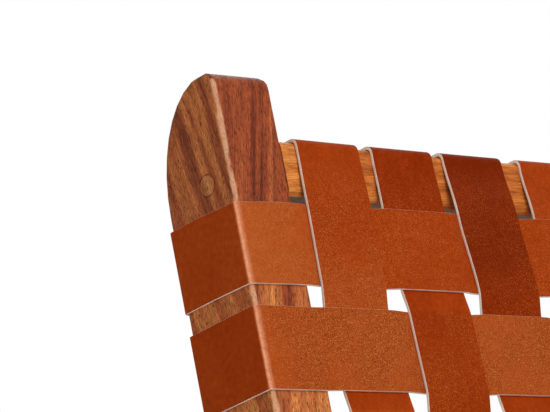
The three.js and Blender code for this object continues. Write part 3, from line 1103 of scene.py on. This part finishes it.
    def _mesh(self, vertices: list[Vector], ring: Section) -> bpy.types.Mesh:
        """Makes the closed mesh with its faces turned outwards.

        Args:
            vertices: Points of the strap, one section after another.
            ring: The section.

        Returns:
            The mesh.
        """
        count = len(ring)
        last = len(vertices) - count
        faces = [tuple(range(count)), tuple(range(last, len(vertices)))]
        sides = [StrapSide.EDGE, StrapSide.EDGE]
        for row in range(0, last, count):
            for spot, (_, _, side) in enumerate(ring):
                after = (spot + 1) % count
                faces.append((row + spot, row + after, row + count + after, row + count + spot))
                sides.append(side)
        made = bpy.data.meshes.new(self.name)
        made.from_pydata(vertices, [], faces)
        made.polygons.foreach_set("material_index", [int(side) for side in sides])
        made.polygons.foreach_set("use_smooth", [len(face) == 4 for face in faces])
        outward(made)
        return made


def outward(made: bpy.types.Mesh) -> None:
    """Turns the faces of a closed mesh outwards.

    Args:
        made: The mesh.
    """
    work = bmesh.new()
    work.from_mesh(made)
    bmesh.ops.recalc_face_normals(work, faces=work.faces)
    work.to_mesh(made)
    work.free()


def linked(name: str, data: bpy.types.ID) -> bpy.types.Object:
    """Puts a mesh, a light or a camera in the scene.

    Args:
        name: Name of the new object.
        data: What it shows.

    Returns:
        The object.
    """
    piece = bpy.data.objects.new(name, data)
    bpy.context.scene.collection.objects.link(piece)
    return piece


@dataclass
class Tacks:
    """Domed tacks that hold the two tails of a strap."""

    name: str
    seats: list[tuple[Vector, Vector]]
    radius: float = 0.0042
    height: float = 0.0021
    rim: float = 0.0005
    sunk: float = 0.0003
    sides: int = 20
    rings: int = 5

    def build(self) -> bpy.types.Object:
        """Turns each tack about its own axis.

        Returns:
            The tacks of one strap as one object.
        """
        work = bmesh.new()
        for seat, axis in self.seats:
            self._turn(work, seat - axis * self.sunk, axis.to_track_quat("Z", "Y"))
        made = bpy.data.meshes.new(self.name)
        work.to_mesh(made)
        work.free()
        outward(made)
        domed = [len(face.vertices) < self.sides for face in made.polygons]
        made.polygons.foreach_set("use_smooth", domed)
        return linked(self.name, made)

    def _turn(self, work: bmesh.types.BMesh, seat: Vector, turn: Quaternion) -> None:
        """Adds one tack.

        Args:
            work: Mesh to add it to.
            seat: Middle of its underside.
            turn: Turn from +Z to its axis.
        """
        rises = [math.pi / 2 * ring / self.rings for ring in range(self.rings)]
        dome = self.height - self.rim
        profile = [(self.radius, 0.0)]
        profile += [(self.radius * math.cos(rise), self.rim + dome * math.sin(rise)) for rise in rises]
        angles = [2 * math.pi * side / self.sides for side in range(self.sides)]
        circles = []
        for radius, height in profile:
            spots = [Vector((radius * math.cos(a), radius * math.sin(a), height)) for a in angles]
            circles.append([work.verts.new(seat + turn @ spot) for spot in spots])
        crown = work.verts.new(seat + turn @ Vector((0.0, 0.0, self.height)))
        work.faces.new(circles[0])
        for side in range(self.sides):
            after = (side + 1) % self.sides
            for low, high in pairwise(circles):
                work.faces.new((low[side], low[after], high[after], high[side]))
            work.faces.new((circles[-1][side], circles[-1][after], crown))


@dataclass
class WovenPanel:
    """A back or a seat woven from long straps and cross straps, one over and one under."""

    label: str
    panel: PanelFrame
    cross_straps: int
    rails: tuple[str, str]
    sides: tuple[str, str]
    sizes: ChairSizes
    skins: list[bpy.types.Material]
    tack_finish: bpy.types.Material
    long_looks: tuple[StrapLook, ...]
    cross_looks: tuple[StrapLook, ...]
    drifts: tuple[tuple[float, ...], ...]
    settled: tuple[float, ...]
    drift_runs: tuple[float, ...] = (-0.045, -0.080, -0.130, -0.200, -0.320)
    settled_reach: float = 0.030
    settled_tilt: float = 0.4
    weave_round: float = 0.030
    rail_bend: float = 0.0042
    side_bend: float = 0.0019
    tail_bend: float = 0.0025
    side_wear_and_highlight: float = 1.0
    pad_room: float = 0.0003
    cover_shadow_shift: float = 0.009
    cover_fade: float = 0.010
    tack_spread: float = 0.014
    tack_inset: float = 0.0075

    @property
    def first_rail(self) -> float:
        """Middle of the cross rail near the free end."""
        return -self.sizes.end_to_rail - self.sizes.rail_height / 2

    @property
    def last_rail(self) -> float:
        """Middle of the cross rail near the corner."""
        length = self.sizes.panel_length(self.cross_straps)
        return -length + self.sizes.corner_gap + self.sizes.rail_height / 2

    @property
    def reach(self) -> float:
        """Middle of a strap to where the strap that it crosses starts to bend."""
        return self.sizes.strap_width / 2 + self.pad_room

    def row_middle(self, row: int) -> float:
        """Gives the place of a cross strap along the panel."""
        first = self.first_rail - self.sizes.rail_height / 2 - self.sizes.rail_gap
        return first - self.sizes.strap_width / 2 - row * self.sizes.pitch

    def column_middle(self, column: int, run: float) -> float:
        """Gives the place of a long strap across the panel, where it has drifted a little.

        Args:
            column: Number of the strap, from 0.
            run: Place along the panel.

        Returns:
            The middle of the strap there.
        """
        drift = self.drifts[column % len(self.drifts)]
        place = (column - (self.sizes.long_straps - 1) / 2) * self.sizes.pitch + drift[0]
        stretches = zip(pairwise(self.drift_runs), pairwise(drift))
        return place + sum((after - before) * eased(run, *runs) for runs, (before, after) in stretches)

    def settling(self, row: int, run: float, n: float, across: float) -> float:
        """Gives how far a cross strap has slid down round the outer front edge.

        Args:
            row: Number of the strap, from 0.
            run: Place across the panel.
            n: Depth behind the panel's front.
            across: Offset from the strap's middle.

        Returns:
            The slide, which fades out away from the edge.
        """
        slide = self.settled[row % len(self.settled)]
        distance = self.sizes.outside_half - abs(run) + n
        closeness = max(0.0, 1 - max(0.0, distance) / self.settled_reach)
        return slide * closeness * (1 + self.settled_tilt * across / (self.sizes.strap_width / 2))

    @staticmethod
    def long_over(column: int, row: int) -> bool:
        """Tells if a long strap lies over a cross strap."""
        return (column + row) % 2 == 0

    def level(self, over: bool) -> float:
        """Gives the depth of a strap that lies over or under another."""
        return -self.sizes.strap_offset + (-self.sizes.weave if over else self.sizes.weave)

    def build(self) -> None:
        """Makes and dresses every strap of the panel with its tacks."""
        for column in range(self.sizes.long_straps):
            self._dress(self._long_strap(column), self._long_tacks(column))
        for row in range(self.cross_straps):
            self._dress(self._cross_strap(row), self._cross_tacks(row))

    def _lies_on_rail(self, column: int, row: int) -> bool:
        """Tells if a long strap has to follow a rail's face before it enters the weave.

        Args:
            column: Number of the long strap, from 0.
            row: Number of the cross strap nearest to the rail.

        Returns:
            True where the rail's face stands in the strap's way.
        """
        middle = self.column_middle(column, self.row_middle(row))
        half = self.sizes.strap_width / 2
        room = min(self.sizes.rail_front(middle - half), self.sizes.rail_front(middle + half))
        return self.level(self.long_over(column, row)) > room - self.sizes.strap_offset

    def _long_strap(self, column: int) -> Strap:
        """Draws a long strap round both cross rails.

        Args:
            column: Number of the strap, from 0.

        Returns:
            The strap, not yet built.
        """
        sizes = self.sizes
        offset = sizes.strap_offset
        flat = sizes.rail_flat
        top = self.first_rail + sizes.rail_height / 2 + offset
        bottom = self.last_rail - sizes.rail_height / 2 - offset
        behind = sizes.rail_depth + offset
        rows = range(self.cross_straps)
        starts = [self.first_rail + flat, self.last_rail - flat]
        tails = starts[0] - sizes.long_tail, starts[1] + sizes.long_tail
        corners = [(tails[0], behind, 0.0), (top, behind, self.rail_bend), (top, -offset, self.rail_bend)]
        if self._lies_on_rail(column, rows[0]):
            starts[0] = self.first_rail - flat
            corners.append((starts[0], -offset, self.weave_round))
        for row in rows:
            level = self.level(self.long_over(column, row))
            pads = (self.row_middle(row) + self.reach, self.row_middle(row) - self.reach)
            corners += [(pad, level, self.weave_round) for pad in pads]
        if self._lies_on_rail(column, rows[-1]):
            starts[1] = self.last_rail + flat
            corners.append((starts[1], -offset, self.weave_round))
        corners += [(bottom, -offset, self.rail_bend), (bottom, behind, self.rail_bend)]
        corners.append((tails[1], behind, 0.0))
        ends = self.row_middle(rows[0]) + self.reach, self.row_middle(rows[-1]) - self.reach
        over = [row for row in rows if not self.long_over(column, row)]
        # Shifted towards the panel's corner, where each covering strap's painted shadow falls
        covers = [self.row_middle(row) - self.cover_shadow_shift for row in over]

        def place(run: float, n: float, across: float) -> Vector:
            """Puts a point of the strap in the panel, bowed with the rails.

            Args:
                run: Place along the panel.
                n: Depth behind the panel's front.
                across: Offset from the strap's middle.

            Returns:
                The point in the shared frame.
            """
            x = self.column_middle(column, run) + across
            share = max(eased(run, end, start) for end, start in zip(ends, starts))
            return self.panel.at(x, n + sizes.rail_front(x) * share, run)

        def covered(run: float) -> float:
            """Gives how far a cross strap covers the strap, shifted towards the panel's corner where its
            painted shadow falls.
            """
            distance = min(abs(run - cover) for cover in covers)
            return 1 - eased(distance, self.reach, self.reach + self.cover_fade)

        return Strap(
            name=f"{self.label}_long_strap_{column + 1}_leather",
            path=StrapPath(corners),
            grain_side=1.0,
            place=place,
            look=self.long_looks[column % len(self.long_looks)],
            wear_and_highlight=0.0,
            width=sizes.strap_width,
            thickness=sizes.strap_thickness,
            tail_share=1.0,
            covered=covered,
        )

    def _cross_strap(self, row: int) -> Strap:
        """Draws a cross strap round both sides of the frame.

        Args:
            row: Number of the strap, from 0.

        Returns:
            The strap, not yet built.
        """
        sizes = self.sizes
        front = -sizes.strap_offset
        edge = sizes.outside_half + sizes.strap_offset
        tail_offset = sizes.lay_gap + sizes.tail_thickness / 2
        rear, behind = sizes.outside_half + tail_offset, sizes.stock_depth + tail_offset
        middle = self.row_middle(row)
        right = [
            (sizes.inside_half, front, self.weave_round), (edge, front, self.side_bend),
            (rear, behind, self.tail_bend), (sizes.cross_tail_end, behind, 0.0),
        ]
        corners = [(-run, n, radius) for run, n, radius in reversed(right)]
        for column in range(sizes.long_straps):
            level = self.level(not self.long_over(column, row))
            pad = self.column_middle(column, middle)
            corners += [(spot, level, self.weave_round) for spot in (pad - self.reach, pad + self.reach)]
        corners += right

        def place(run: float, n: float, across: float) -> Vector:
            """Puts a point of the strap in the panel."""
            return self.panel.at(run, n, middle + across - self.settling(row, run, n, across))

        return Strap(
            name=f"{self.label}_cross_strap_{row + 1}_leather",
            path=StrapPath(corners),
            grain_side=-1.0,
            place=place,
            look=self.cross_looks[row % len(self.cross_looks)],
            wear_and_highlight=self.side_wear_and_highlight,
            width=sizes.strap_width,
            thickness=sizes.strap_thickness,
            tail_share=sizes.tail_share,
        )

    def _long_tacks(self, column: int) -> Tacks:
        """Places the tacks of a long strap on the back of both cross rails.

        Args:
            column: Number of the strap, from 0.

        Returns:
            The tacks, not yet built.
        """
        sizes = self.sizes
        inset = sizes.long_tail - self.tack_inset
        depth = sizes.rail_depth + sizes.strap_thickness + sizes.lay_gap
        seats = []
        for run in (self.first_rail + sizes.rail_flat - inset, self.last_rail - sizes.rail_flat + inset):
            for side in (-1, 1):
                x = self.column_middle(column, run) + side * self.tack_spread
                seats.append((self.panel.at(x, depth + sizes.rail_front(x), run), self.panel.away))
        return Tacks(f"{self.label}_long_strap_{column + 1}_tacks", seats)

    def _cross_tacks(self, row: int) -> Tacks:
        """Places the tacks of a cross strap on the back of both sides.

        Args:
            row: Number of the strap, from 0.

        Returns:
            The tacks, not yet built.
        """
        sizes = self.sizes
        depth = sizes.stock_depth + sizes.tail_thickness + sizes.lay_gap
        tail = sizes.cross_tail_end + self.tack_inset
        seats = []
        for x in (-tail, tail):
            for side in (-1, 1):
                run = self.row_middle(row) + side * self.tack_spread
                seats.append((self.panel.at(x, depth, run), self.panel.away))
        return Tacks(f"{self.label}_cross_strap_{row + 1}_tacks", seats)

    def _dress(self, strap: Strap, tacks: Tacks) -> None:
        """Builds a strap and its tacks, and ties both to the frame.

        Args:
            strap: The strap.
            tacks: Its tacks.
        """
        piece = strap.build()
        for skin in self.skins:
            piece.data.materials.append(skin)
        held = tacks.build()
        held.data.materials.append(self.tack_finish)
        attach(piece, BODY)
        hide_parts(strap.name.removesuffix("_leather"))
        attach(held, BODY)
        length = strap.path.length()
        LOG.info("%s: %.0f mm of strap", piece.name, 1000 * length)


def coat(node: bpy.types.Object, made: bpy.types.Material) -> None:
    """Puts one material on the whole of a CAD node and reports it.

    Args:
        node: The node.
        made: Its material.
    """
    for part in node.material_slots:
        part.material = made
    LOG.info("%s: %s", node.name, made.name)


class WoodPart(Enum):
    """Kinds of wood part, each with the pattern of its nodes' names."""

    POST = r"rear_post_\w+"
    SEAT_RAIL = r"seat_rail_(left|right)"
    LEG = r"front_leg_\w+"
    CROSS_RAIL = r"\w+_rail"
    PLUG = r"\w+_plug_\w+"

    @classmethod
    def of(cls, name: str) -> "WoodPart | None":
        """Gives the kind of a node, or None where it isn't wood."""
        return next((part for part in cls if re.fullmatch(part.value, name)), None)


@dataclass
class WoodFrame:
    """Posts, seat rails, legs, cross rails and plugs, which keep their CAD shape."""

    back: PanelFrame
    seat: PanelFrame
    smooth_angle: float = math.radians(40.0)
    weld: float = 0.00001
    normal_weight: int = 80
    leg_slant: Triple = (0.03, -0.02, -math.pi / 4)
    dark_wood: WoodTones = WoodTones(
        line=colour(0x37190F), dark=colour(0x6A2D1C), middle=colour(0x9A4A29), light=colour(0xB96538),
        sap_dark=colour(0xB05A30), sap_light=colour(0xD6864A),
    )
    golden_wood: WoodTones = WoodTones(
        line=colour(0x70380F), dark=colour(0xA85A26), middle=colour(0xC46E30), light=colour(0xDA8A44),
        sap_dark=colour(0xCA7634), sap_light=colour(0xE89E56),
    )
    plug_wood: WoodTones = WoodTones(
        line=colour(0x5A2E18), dark=colour(0x9E5A30), middle=colour(0xBA7040), light=colour(0xCA8650),
        sap_dark=colour(0xAA6638), sap_light=colour(0xCA8650),
    )

    def dress(self) -> None:
        """Gives each wood part its finish and smooth edges."""
        panels = (self.back, self.seat)
        back_wear_and_highlight, seat_wear_and_highlight = (EdgeWearAndHighlight(panel.origin.dot(panel.away)) for panel in panels)
        knee = self.back.at(0.0, 0.0, -self.back.length).z
        dark = self.dark_wood
        finishes = {
            WoodPart.POST: StreakedWood("post_wood_upright", dark, Grain.POST, back_wear_and_highlight, knee),
            WoodPart.SEAT_RAIL: StreakedWood("post_wood_level", dark, Grain.SEAT_RAIL, seat_wear_and_highlight),
            WoodPart.LEG: StreakedWood("post_wood_leg", dark, Grain.LEG, slant=self.leg_slant),
            WoodPart.CROSS_RAIL: RailWood(
                "rail_wood_golden", self.golden_wood, Grain.CROSS_RAIL,
                slant=(0.0, 0.03, 0.0), sapwood_start=-0.19, pore_strength=0.35,
            ),
            WoodPart.PLUG: PlugWood("plug_wood_turned", self.plug_wood, Grain.POST, streak_strength=0.3),
        }
        skins = {part: finish.material() for part, finish in finishes.items()}
        smooth = self._smooth_edges()
        for name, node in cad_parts.items():
            part = WoodPart.of(name)
            if part:
                coat(node, skins[part])
                self._smooth(node, smooth)

    def _smooth(self, node: bpy.types.Object, smooth: bpy.types.NodeTree) -> None:
        """Gives one part the modifiers that smooth its edges.

        Args:
            node: The CAD node.
            smooth: Geometry nodes that weld and shade it.
        """
        node.modifiers.new("smooth_edges", "NODES").node_group = smooth
        weighted = node.modifiers.new("even_normals", "WEIGHTED_NORMAL")
        weighted.keep_sharp = True
        weighted.mode = "FACE_AREA"
        weighted.weight = self.normal_weight

    def _smooth_edges(self) -> bpy.types.NodeTree:
        """Builds geometry nodes that weld a part's faces and smooth its rounded edges.

        Returns:
            The tree.
        """
        tree = bpy.data.node_groups.new("smooth_edges", "GeometryNodeTree")
        for way in ("INPUT", "OUTPUT"):
            tree.interface.new_socket("Geometry", in_out=way, socket_type="NodeSocketGeometry")
        build = Shader(tree)
        angle = build.node("GeometryNodeInputMeshEdgeAngle")
        larger = {"data_type": "FLOAT", "operation": "GREATER_THAN"}
        sharp = build.node("FunctionNodeCompare", larger, {0: angle, 1: self.smooth_angle})
        rounded = build.node("FunctionNodeBooleanMath", {"operation": "NOT"}, {0: sharp})
        shape = build.node("NodeGroupInput")
        for kind, settings, sockets in (
            ("GeometryNodeMergeByDistance", {}, {"Distance": self.weld}),
            ("GeometryNodeRemoveAttribute", {}, {"Name": "custom_normal"}),
            ("GeometryNodeSetShadeSmooth", {"domain": "FACE"}, {"Shade Smooth": True}),
            ("GeometryNodeSetShadeSmooth", {"domain": "EDGE"}, {"Shade Smooth": rounded}),
        ):
            shape = build.node(kind, settings, {"Geometry": shape, **sockets})
        build.end("NodeGroupOutput", shape)
        return tree


@dataclass
class Fittings:
    """Screws in the joints and glides under the feet, which keep their CAD shape."""

    steel: bpy.types.Material
    nylon: bpy.types.Material

    def dress(self) -> None:
        """Gives screws and glides their finish."""
        for name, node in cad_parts.items():
            if "screw" in name:
                coat(node, self.steel)
            elif "glide" in name:
                coat(node, self.nylon)


@dataclass(frozen=True)
class Lamp:
    """A soft lamp that hangs in a direction from the chair."""

    name: str
    direction: Triple
    distance: float
    width: float
    height: float
    power: float
    lights_diffuse: bool = True


@dataclass
class Studio:
    """Plain pale floor, white surroundings and soft lamps."""

    aim: Vector
    lamps: tuple[Lamp, ...]
    ambient: float = 0.50
    floor_half: float = 30.0
    floor_colour: Colour = colour(0xEEECE8)
    white: Colour = (1.0, 1.0, 1.0, 1.0)

    def build(self) -> None:
        """Makes the floor, the surroundings and the lamps."""
        self._floor()
        self._surroundings()
        for lamp in self.lamps:
            self._hang(lamp)

    def _floor(self) -> None:
        """Lays a pale matt floor under the chair."""
        half = self.floor_half
        made = bpy.data.meshes.new("floor")
        corners = [(-half, -half, 0), (half, -half, 0), (half, half, 0), (-half, half, 0)]
        made.from_pydata(corners, [], [(0, 1, 2, 3)])
        floor = linked("floor", made)
        made.materials.append(PaleFloor("pale_floor", self.floor_colour).material())

    def _surroundings(self) -> None:
        """Surrounds the chair with white that lights it softly."""
        world = bpy.data.worlds.new("surroundings")
        bpy.context.scene.world = world
        world.use_nodes = True
        shader = Shader(world.node_tree)
        soft, seen = (
            shader.node("ShaderNodeBackground", None, {"Color": self.white, "Strength": strength})
            for strength in (self.ambient, 1.0)
        )
        kinds = ("Camera", "Glossy", "Transmission")
        rays = [shader.node("ShaderNodeLightPath", output=f"Is {kind} Ray") for kind in kinds]
        share = (rays[0] + rays[1] + rays[2]).rise(0.0, 1.0)
        mixed = shader.node("ShaderNodeMixShader", None, {0: share, 1: soft, 2: seen})
        shader.end("ShaderNodeOutputWorld", mixed)

    def _hang(self, lamp: Lamp) -> None:
        """Hangs one lamp and aims it at the chair.

        Args:
            lamp: The lamp.
        """
        light = bpy.data.lights.new(lamp.name, "AREA")
        light.shape = "RECTANGLE"
        light.size, light.size_y = lamp.width, lamp.height
        light.energy = lamp.power
        holder = linked(lamp.name, light)
        towards = Vector(lamp.direction).normalized()
        holder.location = self.aim + towards * lamp.distance
        holder.rotation_mode = "QUATERNION"
        holder.rotation_quaternion = towards.to_track_quat("Z", "Y")
        holder.visible_camera = False
        holder.visible_diffuse = lamp.lights_diffuse


@dataclass
class PhotoCamera:
    """Camera at the photograph's viewing angle, close on the left end of the back."""

    target: Vector
    distance: float
    azimuth: float
    climb: float
    roll: float
    focal_pixels: float
    image_width: float = 550.0
    sensor: float = 36.0
    clip: Span = (0.1, 100.0)

    def build(self) -> None:
        """Makes the scene's camera."""
        data = bpy.data.cameras.new("photo_camera")
        data.sensor_width = self.sensor
        data.lens = self.focal_pixels * self.sensor / self.image_width
        data.clip_start, data.clip_end = self.clip
        camera = linked("photo_camera", data)
        flat, rise = math.cos(self.climb), math.sin(self.climb)
        forward = Vector((flat * math.sin(self.azimuth), flat * math.cos(self.azimuth), rise))
        camera.rotation_mode = "QUATERNION"
        camera.rotation_quaternion = forward.to_track_quat("-Z", "Y") @ Quaternion((0, 0, 1), self.roll)
        camera.location = self.target - forward * self.distance
        bpy.context.scene.camera = camera


def panel_frames(sizes: ChairSizes) -> tuple[PanelFrame, PanelFrame]:
    """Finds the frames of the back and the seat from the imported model.

    Args:
        sizes: The chair's sizes.

    Returns:
        The back's frame and the seat's frame.
    """
    low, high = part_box("rear_glide_left")
    back_length = sizes.panel_length(sizes.back_rows)
    seat_length = sizes.panel_length(sizes.seat_rows)
    corner = Vector((
        0.0,
        (low.y + high.y) / 2 - sizes.rear_foot_middle,
        sizes.seat_front_height - seat_length * math.sin(SEAT_SLOPE),
    ))
    sin, cos = math.sin(BACK_LEAN), math.cos(BACK_LEAN)
    up, behind = Vector((0, sin, cos)), Vector((0, cos, -sin))
    back = PanelFrame(corner + up * back_length, Vector((1, 0, 0)), behind, up, back_length)
    sin, cos = math.sin(SEAT_SLOPE), math.cos(SEAT_SLOPE)
    forward, below = Vector((0, -cos, sin)), Vector((0, -sin, -cos))
    seat = PanelFrame(corner + forward * seat_length, Vector((-1, 0, 0)), below, forward, seat_length)
    return back, seat


# Sideways drift of the long straps, at each of a panel's drift runs
DRIFTS = (
    (0.0040, 0.0014, 0.0005, 0.0036, 0.0),
    (0.0021, 0.0001, 0.0021, 0.0036, 0.0),
    (-0.0021, -0.0042, 0.0002, 0.0003, 0.0),
    (0.0008, -0.0004, 0.0012, -0.0006, 0.0),
    (-0.0012, 0.0006, -0.0008, 0.0010, 0.0),
)

# Looks of the straps, which repeat over a panel. On the back the first three long straps get darker one
# after another and the first cross strap is darker in its middle than at its ends: painted shade of the
# light falling off from the left.
BACK_LONG_LOOKS = (
    StrapLook(0.33, 1.05, 1.0), StrapLook(0.02, 0.22, 0.8), StrapLook(-0.32, 0.05, 0.6),
    StrapLook(0.4, 0.5, 0.9), StrapLook(0.2, 0.3, 0.7), StrapLook(0.45, 0.55, 1.0),
)
BACK_CROSS_LOOKS = (
    StrapLook(0.87, 0.42, 0.8), StrapLook(0.78, 0.84, 1.45), StrapLook(0.7, 0.75, 1.0),
    StrapLook(0.85, 0.75, 0.8), StrapLook(0.75, 0.7, 1.2),
)
SEAT_LONG_LOOKS = (
    StrapLook(0.4, 0.5, 0.9), StrapLook(0.55, 0.45, 1.1), StrapLook(0.3, 0.35, 0.8),
    StrapLook(0.5, 0.6, 1.0), StrapLook(0.25, 0.3, 0.7),
)
SEAT_CROSS_LOOKS = (
    StrapLook(0.75, 0.7, 1.0), StrapLook(0.85, 0.8, 1.2), StrapLook(0.65, 0.7, 0.8),
    StrapLook(0.8, 0.75, 1.1),
)


def main() -> None:
    """Builds the studio, dresses the frame and weaves the panels."""
    logging.basicConfig(level=logging.INFO, format="%(message)s")
    bpy.context.scene.view_settings.view_transform = "Standard"
    sizes = ChairSizes()
    back_frame, seat_frame = panel_frames(sizes)

    PhotoCamera(
        target=back_frame.at(-0.2505, 0.0195, -0.0746),
        distance=2.33,
        azimuth=math.radians(41.465),
        climb=math.radians(4.295),
        roll=math.radians(0.107),
        focal_pixels=4000.0,
    ).build()
    Studio(
        aim=Vector((-0.1, 0.2, 0.6)),
        lamps=(
            Lamp("key", (-0.12, -0.85, 0.5), 2.2, 1.8, 1.6, 32.0),
            Lamp("edge_strip", (-0.70, -0.56, 0.46), 2.4, 0.5, 1.8, 60.0, lights_diffuse=False),
            Lamp("fill", (0.8, 0.5, 0.7), 3.0, 2.0, 2.0, 18.0),
        ),
    ).build()

    steel = BrushedSteel("plated_steel").material()
    WoodFrame(back_frame, seat_frame).dress()
    Fittings(steel, MouldedNylon("glide_nylon").material()).dress()
    skins = [
        GrainLeather("strap_leather").material(),
        RawLeather("strap_cut_edge", colour(0xFFF4E8), colour(0xE8D6C4)).material(),
        RawLeather("strap_flesh_side", colour(0xB98A62), colour(0x8F6240)).material(),
    ]
    WovenPanel(
        label="back",
        panel=back_frame,
        cross_straps=sizes.back_rows,
        rails=("top_rail", "lower_back_rail"),
        sides=("rear_post_left", "rear_post_right"),
        sizes=sizes,
        skins=skins,
        tack_finish=steel,
        long_looks=BACK_LONG_LOOKS,
        cross_looks=BACK_CROSS_LOOKS,
        drifts=DRIFTS,
        settled=(0.0010, 0.0, 0.0006, 0.0008),
    ).build()
    WovenPanel(
        label="seat",
        panel=seat_frame,
        cross_straps=sizes.seat_rows,
        rails=("front_rail", "rear_seat_rail"),
        sides=("seat_rail_left", "seat_rail_right"),
        sizes=sizes,
        skins=skins,
        tack_finish=steel,
        long_looks=SEAT_LONG_LOOKS,
        cross_looks=SEAT_CROSS_LOOKS,
        drifts=DRIFTS[::-1],
        settled=(0.0005, 0.0, 0.0008),
    ).build()


if __name__ == "__main__":
    main()
